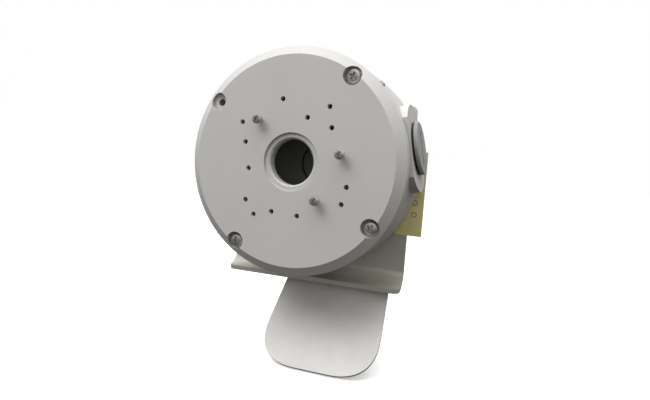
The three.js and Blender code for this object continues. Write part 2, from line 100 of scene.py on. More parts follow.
class CoverSizes(bpy.types.PropertyGroup):
    """Sizes of the cast cover."""
    turn: FloatProperty(name="Turn", description="How far the box is turned on its bracket",
                        default=math.radians(11.3), subtype="ANGLE")
    bevel_width: length("Bevel width", "From the rim in to the flat face", 5.5 * MM)
    bevel_depth: length("Bevel depth", "From the face back to the skirt", 4 * MM)
    plate: length("Plate", "Thickness of the face", 3.5 * MM)
    land_depth: length("Land depth", "From the face back to the land on the gasket", 8 * MM)
    land_radius: length("Land radius", "Inner edge of the land", 52 * MM)
    skirt_wall: length("Skirt wall", "Thickness of the skirt", 1.6 * MM)
    bore: length("Bore radius", "Cable bore in the middle", 13.5 * MM)
    bore_chamfer: length("Bore chamfer", "Chamfer where the bore meets its seat", 0.9 * MM)
    seat: length("Seat radius", "Shallow recess round the bore", 17 * MM)
    seat_depth: length("Seat depth", "Depth of the recess round the bore", 1.4 * MM)
    collar_wall: length("Collar wall", "Collar behind the face, round the bore", 4 * MM)
    collar_depth: length("Collar depth", "From the face to the collar's end", 7.5 * MM)
    pilot: length("Pilot hole radius", "Holes for camera bases", 1.5 * MM)
    lug: length("Lug radius", "Small prising lugs on the skirt", 1.4 * MM)
    edge: length("Edge rounding", "Rounding that the casting and its coat leave", 0.35 * MM)
    sides: IntProperty(name="Sides", description="Sides of the cover's circles", default=192, min=24)


class ScrewSizes(bpy.types.PropertyGroup):
    """Sizes of the pan-head screws."""
    circle: length("Screw circle", "Cover screws' distance from the axis", 59.8 * MM)
    counterbore: length("Counterbore radius", "Recess for a cover screw's head", 5.4 * MM)
    counterbore_depth: length("Counterbore depth", "Depth of that recess", 4.5 * MM)
    clearance: length("Clearance hole", "Radius of the hole for the shank", 2.2 * MM)
    keeper: length("Keeper recess", "Radius of the recess for the keeper ring", 3.9 * MM)
    keeper_depth: length("Keeper recess depth", "Depth of that recess", 1.6 * MM)
    cover_head: length("Cover screw head", "Radius of an M4 pan head", 4 * MM)
    cover_height: length("Cover screw head height", "Height of an M4 pan head", 2.8 * MM)
    cover_shank: length("Cover screw shank", "Radius over the thread", 1.9 * MM)
    cover_length: length("Cover screw length", "Under the head to the tip", 16 * MM)
    camera_head: length("Camera screw head", "Radius of an M3 pan head", 3 * MM)
    camera_height: length("Camera screw head height", "Height of an M3 pan head", 2.4 * MM)
    camera_shank: length("Camera screw shank", "Radius over the thread", 1.2 * MM)
    camera_length: length("Camera screw length", "Under the head to the tip", 12 * MM)
    camera_stand: length("Camera screw stand", "Face of the cover to the head's underside", 3.6 * MM)


class EntrySizes(bpy.types.PropertyGroup):
    """Sizes of the side entry's plug and its seal."""
    rise: FloatProperty(name="Rise", description="Entry's axis above the horizontal",
                        default=math.radians(11.3), subtype="ANGLE")
    forward: length("Forward", "Entry's axis in front of the leaf's back", 27.9 * MM)
    head: length("Head radius", "Radius of the plug's head", 16 * MM)
    head_back: length("Head back", "Box's axis to the back of the head", 69.0 * MM)
    head_thickness: length("Head thickness", "Thickness of the head", 2 * MM)
    stub: length("Stub radius", "Radius of the stub in the bore", 12.7 * MM)
    stub_wall: length("Stub wall", "Wall of the hollow stub", 3 * MM)
    stub_length: length("Stub length", "Length of the stub", 9 * MM)
    slot_length: length("Slot length", "Coin slot across the head", 20 * MM)
    slot_width: length("Slot width", "Width of the coin slot", 2.4 * MM)
    slot_depth: length("Slot depth", "Depth of the coin slot", 1.2 * MM)


class Colours(bpy.types.PropertyGroup):
    """Colours and surface of each finish."""
    coat: colour("Coat", "Powder coat on the castings", (0.545, 0.54, 0.525))
    coat_worn: colour("Worn coat", "Coat where edges are rubbed", (0.68, 0.675, 0.66))
    screw: colour("Screw steel", "Plated screws", (0.46, 0.45, 0.42))
    stainless: colour("Stainless", "Bracket plate", (0.68, 0.67, 0.60))
    leaf: colour("Leaf steel", "Leaf under the plate", (0.76, 0.75, 0.73))
    rubber: colour("Rubber", "Gaskets and seal", (0.018, 0.018, 0.02))
    nylon: colour("Nylon", "Keeper rings", (0.74, 0.70, 0.60))
    plug: colour("Plug", "Side entry's plug", (0.30, 0.30, 0.295))
    brass: colour("Brass", "Earth terminal", (0.55, 0.38, 0.14))
    strip: colour("Strip", "Marking strip", (0.86, 0.77, 0.38))
    strip_mark: colour("Strip marks", "Ring marks on the strip", (0.42, 0.38, 0.20))
    grime: share("Grime", "How much dust and handling shows", 0.35)


# ------------------------------------------------------------------ modelling by hand

def deselect():
    """Leaves edit mode and selects nothing."""
    if bpy.context.object and bpy.context.object.mode != "OBJECT":
        bpy.ops.object.mode_set(mode="OBJECT")
    bpy.ops.object.select_all(action="DESELECT")


def take(piece):
    """Makes this the one selected object."""
    deselect()
    piece.select_set(True)
    bpy.context.view_layer.objects.active = piece


def edit_all(piece):
    """Goes into edit mode with the whole mesh selected."""
    take(piece)
    bpy.ops.object.mode_set(mode="EDIT")
    bpy.ops.mesh.select_all(action="SELECT")


def clean(piece, tolerance=0.005 * MM):
    """Merges doubles and turns every face outwards."""
    edit_all(piece)
    bpy.ops.mesh.remove_doubles(threshold=tolerance)
    bpy.ops.mesh.normals_make_consistent(inside=False)
    bpy.ops.object.mode_set(mode="OBJECT")


def settle(piece):
    """Puts a piece's place into its mesh."""
    take(piece)
    bpy.ops.object.transform_apply(location=True, rotation=True, scale=True)


def turned(name, profile, sides):
    """Turned body about the box's axis: a ring drawn out along the axis and resized, step by step.
    The profile holds (radius, forward) pairs. One that ends where it starts gives a ring."""
    radius, forward = profile[0]
    is_ring = profile[0] == profile[-1]
    deselect()
    bpy.ops.mesh.primitive_circle_add(
        vertices=sides, radius=radius, fill_type="NOTHING" if is_ring else "NGON",
        location=(0, -forward, 0), rotation=(QUARTER_TURN, 0, 0))
    piece = bpy.context.object
    piece.name = piece.data.name = name
    settle(piece)
    edit_all(piece)
    for next_radius, next_forward in profile[1:]:
        step = {"value": (0, forward - next_forward, 0)}
        bpy.ops.mesh.extrude_region_move(TRANSFORM_OT_translate=step)
        if next_radius != radius:
            size = next_radius / radius
            bpy.ops.transform.resize(value=(size, 1, size), center_override=(0, -next_forward, 0))
        radius, forward = next_radius, next_forward
    clean(piece)
    return piece


def block(name, size, centre):
    """Block of a given size, with its place in its mesh."""
    deselect()
    bpy.ops.mesh.primitive_cube_add(size=1, location=centre, scale=size)
    piece = bpy.context.object
    piece.name = piece.data.name = name
    settle(piece)
    return piece


def copied(piece, name):
    """Copy with a mesh of its own."""
    other = piece.copy()
    other.data = piece.data.copy()
    other.name = other.data.name = name
    bpy.context.scene.collection.objects.link(other)
    return other


def moved(piece, matrix):
    """Moves a piece and puts its place into its mesh."""
    piece.matrix_world = matrix
    settle(piece)
    return piece


def on_circle(radius, angle):
    """Point at a radius and angle round the box's axis."""
    return Vector((radius * math.cos(angle), 0, radius * math.sin(angle)))


def apply_modifier(piece, kind, **settings):
    """Adds a modifier with these settings and applies it."""
    take(piece)
    modifier = piece.modifiers.new(kind.lower(), kind)
    for key, value in settings.items():
        setattr(modifier, key, value)
    bpy.ops.object.modifier_apply(modifier=modifier.name)


def select_facing(piece, normal):
    """Leaves a piece in edit mode with only the faces of one normal selected."""
    edit_all(piece)
    bpy.ops.mesh.select_mode(type="FACE")
    bpy.ops.mesh.select_all(action="DESELECT")
    bpy.ops.object.mode_set(mode="OBJECT")
    for polygon in piece.data.polygons:
        polygon.select = polygon.normal.dot(normal) > 0.95
    bpy.ops.object.mode_set(mode="EDIT")


def combined(piece, tools, operation="DIFFERENCE"):
    """Cuts tools out of a piece, or adds them to it, and clears the tools away."""
    for tool in tools:
        apply_modifier(piece, "BOOLEAN", object=tool, operation=operation, solver="EXACT")
    for tool in tools:
        bpy.data.meshes.remove(tool.data)
    clean(piece)


def joined(pieces):
    """Several separate tools as one object."""
    take(pieces[0])
    for piece in pieces[1:]:
        piece.select_set(True)
    bpy.ops.object.join()
    return pieces[0]


def copies_at(model, places):
    """One tool made of a model's copies, one at each place. The model is cleared away."""
    tools = [moved(copied(model, model.name), Matrix.Translation(place)) for place in places]
    bpy.data.meshes.remove(model.data)
    return joined(tools)


def rounded(piece, width, segments=2, angle=math.radians(35)):
    """Rounds the sharp edges, and shades so that flat faces stay flat."""
    if width:
        apply_modifier(piece, "BEVEL", width=width, segments=segments, limit_method="ANGLE",
                       angle_limit=angle, use_clamp_overlap=True, miter_outer="MITER_ARC")
    take(piece)
    bpy.ops.object.shade_smooth_by_angle(angle=angle)
    apply_modifier(piece, "WEIGHTED_NORMAL", keep_sharp=True, weight=80)


def merged_copy(node, name):
    """Fresh piece from a CAD node's shape, its loose triangles merged and flat areas cleared."""
    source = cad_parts[node]
    piece = copied(source, name)
    piece.parent = None
    piece.matrix_world = Matrix.Identity(4)
    for key in list(piece.keys()):
        del piece[key]
    piece.hide_render = piece.hide_viewport = False
    take(piece)
    bpy.ops.mesh.customdata_custom_splitnormals_clear()
    clean(piece, 0.002 * MM)
    edit_all(piece)
    bpy.ops.mesh.dissolve_limited(angle_limit=math.radians(0.5))
    bpy.ops.object.mode_set(mode="OBJECT")
    return piece


def finished(piece, body, slot, material, *nodes):
    """Gives a piece its finish and its body, and hides the CAD nodes that it stands for."""
    piece.data.materials.clear()
    piece.data.materials.append(material)
    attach(piece, body)
    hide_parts(*nodes)


# ------------------------------------------------------------------ shared surface effects

def put(tree, kind, inputs=None, **settings):
    """Adds a node, sets it, and gives each input a value or another node's output."""
    made = tree.nodes.new("ShaderNode" + kind)
    for key, value in settings.items():
        setattr(made, key, value)
    for key, value in (inputs or {}).items():
        if isinstance(value, bpy.types.NodeSocket):
            tree.links.new(value, made.inputs[key])
        else:
            made.inputs[key].default_value = value
    return made


def effect(name, inputs, outputs, build):
    """Node group with named sockets, built once."""
    if name in bpy.data.node_groups:
        return bpy.data.node_groups[name]
    group = bpy.data.node_groups.new(name, "ShaderNodeTree")
    for socket, kind, value in inputs:
        made = group.interface.new_socket(name=socket, in_out="INPUT", socket_type=kind)
        if value is not None:
            made.default_value = value
    for socket, kind in outputs:
        group.interface.new_socket(name=socket, in_out="OUTPUT", socket_type=kind)
    start = group.nodes.new("NodeGroupInput").outputs
    results = build(group, start)
    end = group.nodes.new("NodeGroupOutput").inputs
    for socket, output in results.items():
        group.links.new(output, end[socket])
    return group


def math_node(tree, operation, first, second=0.0):
    """Two numbers put together."""
    return put(tree, "Math", {0: first, 1: second}, operation=operation).outputs[0]


def ranged(tree, value, low, high, to_low=0.0, to_high=1.0):
    """A value mapped from one range to another, and held there."""
    sockets = {"Value": value, "From Min": low, "From Max": high, "To Min": to_low, "To Max": to_high}
    return put(tree, "MapRange", sockets).outputs[0]


def noise(tree, vector, scale, detail=3.0, roughness=0.55):
    """Noise at a scale, in cycles per metre."""
    sockets = {"Vector": vector, "Scale": scale, "Detail": detail, "Roughness": roughness}
    return put(tree, "TexNoise", sockets).outputs[0]


def blended(tree, factor, first, second):
    """One colour laid over another by a mask."""
    made = put(tree, "Mix", data_type="RGBA")
    for socket, value in ((made.inputs[0], factor), (made.inputs[6], first), (made.inputs[7], second)):
        if isinstance(value, bpy.types.NodeSocket):
            tree.links.new(value, socket)
        else:
            socket.default_value = value
    return made.outputs[2]


def build_peel(group, start):
    """Orange peel of a powder coat, and slow mottling of its colour."""
    fine = noise(group, start["Vector"], start["Peel"], 1.5, 0.5)
    slow = noise(group, start["Vector"], start["Mottle"], 4.0, 0.6)
    return {"Height": fine, "Shade": ranged(group, slow, 0.3, 0.7)}


def build_wear(group, start):
    """Rubbed edges: where a rounded normal parts from the plain one, broken up by noise."""
    geometry = put(group, "NewGeometry")
    soft = put(group, "Bevel", {"Radius": 0.7 * MM}, samples=4)
    sockets = {0: soft.outputs[0], 1: geometry.outputs["Normal"]}
    along = put(group, "VectorMath", sockets, operation="DOT_PRODUCT").outputs["Value"]
    sharp = ranged(group, along, 0.995, 0.93)
    broken = ranged(group, noise(group, start["Vector"], start["Scale"], 5.0, 0.7), 0.35, 0.75)
    return {"Mask": math_node(group, "MULTIPLY", math_node(group, "MULTIPLY", sharp, broken),
                              start["Amount"])}


def build_brush(group, start):
    """Brushed grain: noise drawn out along one direction."""
    drawn = put(group, "Mapping", {"Vector": start["Vector"], "Scale": start["Stretch"]})
    lines = noise(group, drawn.outputs[0], 1.0, 4.0, 0.7)
    slow = noise(group, start["Vector"], 35.0, 3.0, 0.6)
    return {"Height": lines, "Shade": ranged(group, slow, 0.3, 0.7)}


def build_dust(group, start):
    """Dust and finger marks: patches, more on surfaces that face up."""
    geometry = put(group, "NewGeometry")
    up = put(group, "SeparateXYZ", {0: geometry.outputs["Normal"]}).outputs[2]
    patches = ranged(group, noise(group, start["Vector"], start["Scale"], 6.0, 0.65), 0.42, 0.72)
    lying = ranged(group, up, -0.4, 1.0, 0.35, 1.0)
    return {"Mask": math_node(group, "MULTIPLY", math_node(group, "MULTIPLY", patches, lying),
                              start["Amount"])}


FLOAT, VECTOR = "NodeSocketFloat", "NodeSocketVector"


def place_effect(tree, name, build, inputs, outputs, **values):
    """Places a shared effect in a material with its own values."""
    group = effect(name, inputs, outputs, build)
    node = put(tree, "Group", node_tree=group)
    for key, value in values.items():
        if isinstance(value, bpy.types.NodeSocket):
            tree.links.new(value, node.inputs[key])
        else:
            node.inputs[key].default_value = value
    return node.outputs


def peel(tree, vector, size, mottle):
    """Orange peel of a coat or a moulding: its height, and a slow shade."""
    sockets = [("Vector", VECTOR, None), ("Peel", FLOAT, 700.0), ("Mottle", FLOAT, 25.0)]
    outputs = [("Height", FLOAT), ("Shade", FLOAT)]
    return place_effect(tree, "coat_peel", build_peel, sockets, outputs,
                        Vector=vector, Peel=size, Mottle=mottle)


def wear(tree, vector, amount, scale=260.0):
    """Mask of rubbed edges."""
    sockets = [("Vector", VECTOR, None), ("Scale", FLOAT, 260.0), ("Amount", FLOAT, 1.0)]
    return place_effect(tree, "edge_wear", build_wear, sockets, [("Mask", FLOAT)],
                        Vector=vector, Scale=scale, Amount=amount)["Mask"]


def brush(tree, vector, stretch):
    """Brushed or turned grain: its height, and a slow shade."""
    sockets = [("Vector", VECTOR, None), ("Stretch", VECTOR, (1.0, 1.0, 1.0))]
    outputs = [("Height", FLOAT), ("Shade", FLOAT)]
    return place_effect(tree, "brushed_grain", build_brush, sockets, outputs,
                        Vector=vector, Stretch=stretch)


def dust(tree, vector, amount, scale=45.0):
    """Mask of dust and finger marks."""
    sockets = [("Vector", VECTOR, None), ("Scale", FLOAT, 45.0), ("Amount", FLOAT, 1.0)]
    return place_effect(tree, "settled_dust", build_dust, sockets, [("Mask", FLOAT)],
                        Vector=vector, Scale=scale, Amount=amount)["Mask"]


# ------------------------------------------------------------------ finishes

def opaque(rgb):
    """Three numbers of a colour as four."""
    return (*rgb, 1.0)


def scaled(rgb, factor):
    """A colour made lighter or darker."""
    return opaque(min(1.0, part * factor) for part in rgb)


def new_material(name):
    """Empty material with its surface shader, and the object's own coordinates."""
    material = bpy.data.materials.new(name)
    material.use_nodes = True
    tree = material.node_tree
    shader = tree.nodes["Principled BSDF"]
    vector = put(tree, "TexCoord").outputs["Object"]
    return material, tree, shader, vector


def plug_in(tree, shader, height, distance, strength, **outputs):
    """Joins a height and other outputs to the shader."""
    bump = put(tree, "Bump", {"Height": height, "Distance": distance, "Strength": strength})
    tree.links.new(bump.outputs[0], shader.inputs["Normal"])
    for key, output in outputs.items():
        tree.links.new(output, shader.inputs[key.replace("_", " ")])


def coat_material(colours):
    """Light grey powder coat on cast aluminium."""
    material, tree, shader, vector = new_material("powder_coat")
    grain = peel(tree, vector, 620.0, 22.0)
    base = blended(tree, grain["Shade"], scaled(colours.coat, 0.965), scaled(colours.coat, 1.03))
    worn = blended(tree, wear(tree, vector, 0.55), base, opaque(colours.coat_worn))
    shown = blended(tree, dust(tree, vector, 0.3 * colours.grime), worn, scaled(colours.coat, 0.72))
    rough = ranged(tree, grain["Shade"], 0.0, 1.0, 0.36, 0.46)
    plug_in(tree, shader, grain["Height"], 0.06 * MM, 0.35, Base_Color=shown, Roughness=rough)
    shader.inputs["Specular IOR Level"].default_value = 0.45
    shader.inputs["Coat Roughness"].default_value = 0.3
    return material


def metal_material(name, rgb, roughness, stretch, amount, marks=0.3, metallic=1.0):
    """Metal with a brushed or turned grain."""
    material, tree, shader, vector = new_material(name)
    grain = brush(tree, vector, stretch)
    base = blended(tree, grain["Shade"], scaled(rgb, 0.93), scaled(rgb, 1.05))
    shown = blended(tree, dust(tree, vector, marks), base, scaled(rgb, 0.62))
    low, high = roughness
    rough = ranged(tree, grain["Height"], 0.3, 0.7, low, high)
    plug_in(tree, shader, grain["Height"], 0.02 * MM, amount, Base_Color=shown, Roughness=rough)
    shader.inputs["Metallic"].default_value = metallic
    return material


def moulded_material(name, rgb, roughness, marks=0.25):
    """Moulded plastic or rubber with a fine grain."""
    material, tree, shader, vector = new_material(name)
    grain = peel(tree, vector, 1500.0, 60.0)
    base = blended(tree, grain["Shade"], scaled(rgb, 0.88), scaled(rgb, 1.1))
    shown = blended(tree, dust(tree, vector, marks), base, scaled(rgb, 1.5))
    rough = ranged(tree, grain["Shade"], 0.0, 1.0, roughness - 0.05, roughness + 0.06)
    plug_in(tree, shader, grain["Height"], 0.03 * MM, 0.5, Base_Color=shown, Roughness=rough)
    return material


# Middles of the ring marks, x and z in millimetres, and their radius.
STRIP_MARKS = [(64.7, -28.2), (64.7, -20.5), (67.3, -11.3), (66.6, -3.7)]
STRIP_MARK_RADIUS = 1.5 * MM


def strip_material(colours):
    """Matt yellow film with round marks in a row."""
    material, tree, shader, vector = new_material("yellow_film")
    grain = peel(tree, vector, 900.0, 70.0)
    base = blended(tree, grain["Shade"], scaled(colours.strip, 0.86), scaled(colours.strip, 1.1))
    flat = put(tree, "VectorMath", {0: vector, 1: (1.0, 0.0, 1.0)}, operation="MULTIPLY").outputs[0]
    marks = None
    for x, z in STRIP_MARKS:
        centre = (x * MM, 0.0, z * MM)
        away = put(tree, "VectorMath", {0: flat, 1: centre}, operation="DISTANCE").outputs["Value"]
        off_line = math_node(tree, "ABSOLUTE", math_node(tree, "SUBTRACT", away, STRIP_MARK_RADIUS))
        mark = ranged(tree, off_line, 0.35 * MM, 0.75 * MM, 1.0, 0.0)
        marks = mark if marks is None else math_node(tree, "MAXIMUM", marks, mark)
    faint = math_node(tree, "MULTIPLY", marks, 0.75)
    shown = blended(tree, faint, base, opaque(colours.strip_mark))
    rough = ranged(tree, grain["Shade"], 0.0, 1.0, 0.5, 0.62)
    plug_in(tree, shader, grain["Height"], 0.05 * MM, 0.4, Base_Color=shown, Roughness=rough)
    return material


def material_named(name):
    """Material for a finish, made the first time that it is asked for."""
    if name in bpy.data.materials:
        return bpy.data.materials[name]
    colours = bpy.context.scene.box_colours
    along_x, along_z = (60.0, 5000.0, 5000.0), (3500.0, 900.0, 60.0)
    turned_marks = (1600.0, 1600.0, 1600.0)
    makers = {
        "powder_coat": lambda: coat_material(colours),
        "screw_steel": lambda: metal_material(name, colours.screw, (0.2, 0.34), turned_marks, 0.5),
        "brushed_plate": lambda: metal_material(name, colours.stainless, (0.3, 0.46), along_x, 0.5,
                                               metallic=0.6),
        "brushed_leaf": lambda: metal_material(name, colours.leaf, (0.36, 0.5), along_z, 0.6, 0.12,
                                              metallic=0.4),
        "rivet_steel": lambda: metal_material(name, colours.screw, (0.3, 0.42), turned_marks, 0.4),
        "brass": lambda: metal_material(name, colours.brass, (0.25, 0.38), turned_marks, 0.4),
        "black_rubber": lambda: moulded_material(name, colours.rubber, 0.7),
        "white_nylon": lambda: moulded_material(name, colours.nylon, 0.5),
        "grey_plastic": lambda: moulded_material(name, colours.plug, 0.48),
        "yellow_film": lambda: strip_material(colours),
    }
    return makers[name]()


# ------------------------------------------------------------------ cover

# Each circle: radius in millimetres, number of holes, and the first hole's angle in degrees.
PILOT_CIRCLES = [(39.0, 4, 45), (31.4, 3, 0), (31.4, 3, 30), (27.3, 3, 60), (36.6, 3, 90)]
LUG_ANGLES = (33, 213)
LUG_SIDES, PILOT_SIDES, COUNTERBORE_SIDES = 20, 28, 64
COVER_SCREW_ANGLES = {"upper_right": 45, "upper_left": 135, "lower_left": 225, "lower_right": 315}


class BOX_OT_cover(bpy.types.Operator):
    """Turns the cast cover, drills it and rounds its edges"""
    bl_idname = "junction_box.cover"
    bl_label = "Cover"

    def execute(self, context):
        cover, screws = context.scene.box_cover, context.scene.box_screws
        inner = COVER_RADIUS - cover.skirt_wall
        land = FACE - cover.land_depth
        behind = FACE - cover.plate
        collar = cover.bore + cover.collar_wall
        collar_end = FACE - cover.collar_depth
        seat = FACE - cover.seat_depth
        profile = [
            (cover.bore, collar_end),
            (collar, collar_end),
            (collar, behind),
            (cover.land_radius, behind),
            (cover.land_radius, land),
            (inner, land),
            (inner, SKIRT_EDGE),
            (COVER_RADIUS, SKIRT_EDGE),
            (COVER_RADIUS, FACE - cover.bevel_depth),
            (COVER_RADIUS - cover.bevel_width, FACE),
            (cover.seat, FACE),
            (cover.seat, seat),
            (cover.bore + cover.bore_chamfer, seat),
            (cover.bore, seat - cover.bore_chamfer),
            (cover.bore, collar_end),
        ]
        piece = turned("cover", profile, cover.sides)
        lug_top = (SKIRT_EDGE + FACE) / 2
        lug = turned("lug", [(cover.lug, SKIRT_EDGE), (cover.lug, lug_top)], LUG_SIDES)
        places = [on_circle(COVER_RADIUS, cover.turn + math.radians(angle)) for angle in LUG_ANGLES]
        combined(piece, [copies_at(lug, places)], "UNION")
        combined(piece, [self.pilot_holes(cover, land), self.screw_holes(cover, screws, land)])
        rounded(piece, cover.edge)
        finished(piece, "cover", "cast_cover", material_named("powder_coat"), "front_cover")
        return {"FINISHED"}

    def pilot_holes(self, cover, land):
        """Drills for the camera bases' holes, in their circles."""
        drill = turned("drill", [(cover.pilot, land), (cover.pilot, FACE + OVERCUT)], PILOT_SIDES)
        places = [
            on_circle(radius * MM, cover.turn + math.radians(first + index * 360 / count))
            for radius, count, first in PILOT_CIRCLES
            for index in range(count)
        ]
        return copies_at(drill, places)

    def screw_holes(self, cover, screws, land):
        """Stepped cutters for the cover screws."""
        keeper_front = land + screws.keeper_depth
        floor = FACE - screws.counterbore_depth
        profile = [
            (screws.keeper, land - OVERCUT),
            (screws.keeper, keeper_front),
            (screws.clearance, keeper_front),
            (screws.clearance, floor),
            (screws.counterbore, floor),
            (screws.counterbore, FACE + OVERCUT),
        ]
        places = [
            on_circle(screws.circle, cover.turn + math.radians(angle))
            for angle in COVER_SCREW_ANGLES.values()
        ]
        return copies_at(turned("cutter", profile, COUNTERBORE_SIDES), places)


# ------------------------------------------------------------------ screws

THREAD_DEPTH = 0.42      # share of the pitch
RECESS_DEPTH = 0.68      # shares of the head's height and radius
RECESS_REACH, RECESS_WIDTH = 1.34, 0.27
HEAD_SIDES = 40
COVER_PITCH, CAMERA_PITCH = 0.7 * MM, 0.5 * MM

# How far each cross recess is turned, in degrees.
COVER_SCREW_TURNS = {"upper_right": 24, "lower_left": -8, "lower_right": 38}
CAMERA_SCREW_TURNS = {"right": 12, "upper_left": 30, "lower": 20}


def threaded(shank, tip, under, pitch):
    """Profile of a threaded shank, from its tip to the head's underside."""
    root = shank - THREAD_DEPTH * pitch
    profile = [(root * 0.5, tip), (root, tip + pitch)]
    forward = tip + 1.5 * pitch
    while forward < under - pitch:
        profile += [(shank, forward), (root, forward + pitch / 2)]
        forward += pitch
    return profile


def pan_screw(name, shank, head, height, whole, pitch):
    """Pan-head screw with a cross recess, its head's underside at the origin."""
    profile = threaded(shank, -whole, 0.0, pitch) + [
        (shank * 0.92, 0.0),
        (head * 0.96, 0.0),
        (head, height * 0.08),
        (head, height * 0.45),
        (head * 0.97, height * 0.66),
        (head * 0.88, height * 0.84),
        (head * 0.7, height * 0.95),
        (head * 0.4, height),
    ]
    piece = turned(name, profile, HEAD_SIDES)
    depth = height * RECESS_DEPTH
    arm = block("arm", (head * RECESS_REACH, depth + OVERCUT, head * RECESS_WIDTH),
                (0, -(height + OVERCUT - (depth + OVERCUT) / 2), 0))
    select_facing(arm, Vector((0, 1, 0)))
    bpy.ops.transform.resize(value=(0.5, 1, 0.75), center_override=(0, depth - height, 0))
    bpy.ops.object.mode_set(mode="OBJECT")
    across = copied(arm, "arm_across")
    moved(across, Matrix.Rotation(QUARTER_TURN, 4, "Y"))
    combined(piece, [arm, across])
    rounded(piece, 0.0)
    return piece


def screw_at(model, name, place, turn):
    """Copy of a screw at a place, with its recess turned."""
    return moved(copied(model, name), Matrix.Translation(place) @ Matrix.Rotation(turn, 4, "Y"))


class BOX_OT_cover_screws(bpy.types.Operator):
    """Makes one M4 pan-head screw and fits a copy in each used counterbore"""
    bl_idname = "junction_box.cover_screws"
    bl_label = "Cover screws"

    def execute(self, context):
        cover, screws = context.scene.box_cover, context.scene.box_screws
        model = pan_screw("cover_screw_model", screws.cover_shank, screws.cover_head,
                          screws.cover_height, screws.cover_length, COVER_PITCH)
        for corner, turn in COVER_SCREW_TURNS.items():
            node = "cover_screw_" + corner
            under = -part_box(node)[0].y - screws.cover_height
            place = on_circle(screws.circle, cover.turn + math.radians(COVER_SCREW_ANGLES[corner]))
            place.y = -under
            piece = screw_at(model, "cover_bolt_" + corner, place, math.radians(turn))
            finished(piece, node, "screw_steel", material_named("screw_steel"), node)
        bpy.data.meshes.remove(model.data)
        return {"FINISHED"}


class BOX_OT_camera_screws(bpy.types.Operator):
    """Makes one M3 pan-head screw and fits a copy in each used pilot hole"""
    bl_idname = "junction_box.camera_screws"
    bl_label = "Camera screws"

    def execute(self, context):
        screws = context.scene.box_screws
        model = pan_screw("camera_screw_model", screws.camera_shank, screws.camera_head,
                          screws.camera_height, screws.camera_length, CAMERA_PITCH)
        for side, turn in CAMERA_SCREW_TURNS.items():
            node = "camera_screw_" + side
            low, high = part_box(node)
            place = Vector(((low.x + high.x) / 2, -(FACE + screws.camera_stand), (low.z + high.z) / 2))
            piece = screw_at(model, "camera_bolt_" + side, place, math.radians(turn))
            finished(piece, node, "screw_steel", material_named("screw_steel"), node)
        bpy.data.meshes.remove(model.data)
        return {"FINISHED"}


# ------------------------------------------------------------------ housing and side entry

class BOX_OT_housing(bpy.types.Operator):
    """Takes the cast housing's shape, merges it and shades it so that its flat faces stay flat"""
    bl_idname = "junction_box.housing"
    bl_label = "Housing"

    def execute(self, context):
        piece = merged_copy("rear_housing", "housing")
        rounded(piece, 0.0)
        finished(piece, "base", "cast_housing", material_named("powder_coat"), "rear_housing")
        return {"FINISHED"}


PLUG_BEVEL = 0.8 * MM
PLUG_CENTRE = 0.3        # share of the radius where the turning of the flat faces ends
PLUG_SIDES = 96


class BOX_OT_side_plug(bpy.types.Operator):
    """Turns the side entry's plug and cuts its coin slot"""
    bl_idname = "junction_box.side_plug"
    bl_label = "Side plug"

    def execute(self, context):
        entry = context.scene.box_entry
        front = entry.head_back + entry.head_thickness
        hollow = entry.stub - entry.stub_wall
        floor = front - entry.stub_wall
        profile = [
            (hollow * PLUG_CENTRE, floor),
            (hollow, floor),
            (hollow, entry.head_back - entry.stub_length),
            (entry.stub, entry.head_back - entry.stub_length),
            (entry.stub, entry.head_back),
            (entry.head, entry.head_back),
            (entry.head, front - PLUG_BEVEL),
            (entry.head - PLUG_BEVEL, front),
            (entry.head * PLUG_CENTRE, front),
        ]
        piece = turned("entry_plug", profile, PLUG_SIDES)
        slot = block("slot", (entry.slot_width, entry.slot_depth + OVERCUT, entry.slot_length),
                     (0, -(front - entry.slot_depth + (entry.slot_depth + OVERCUT) / 2), 0))
        combined(piece, [slot])
        sideways = Matrix.Rotation(-entry.rise, 4, "Y") @ Matrix.Rotation(QUARTER_TURN, 4, "Z")
        moved(piece, Matrix.Translation((0, -entry.forward, 0)) @ sideways)
        rounded(piece, 0.25 * MM)
        finished(piece, "side_plug", "plug", material_named("grey_plastic"), "side_plug")
        return {"FINISHED"}


# ------------------------------------------------------------------ bracket

class BOX_OT_bracket(bpy.types.Operator):
    """Takes the bracket plate's and leaf's shapes, merges them and breaks their edges"""
    bl_idname = "junction_box.bracket"
    bl_label = "Bracket"

    def execute(self, context):
        plate = merged_copy("bracket_plate", "plate")
        rounded(plate, 0.4 * MM)
        finished(plate, "base", "stainless", material_named("brushed_plate"), "bracket_plate")
        leaf = merged_copy("bracket_leaf", "leaf")
        rounded(leaf, 0.3 * MM)
        finished(leaf, "base", "leaf_steel", material_named("brushed_leaf"), "bracket_leaf")
        return {"FINISHED"}


STRIP_COLUMNS, STRIP_ROWS = 14, 30
STRIP_WAVES = 3
STRIP_LIFT = 0.22         # share of the strip's depth that its free side rises and falls
STRIP_THICKNESS = 0.45    # share of the strip's depth


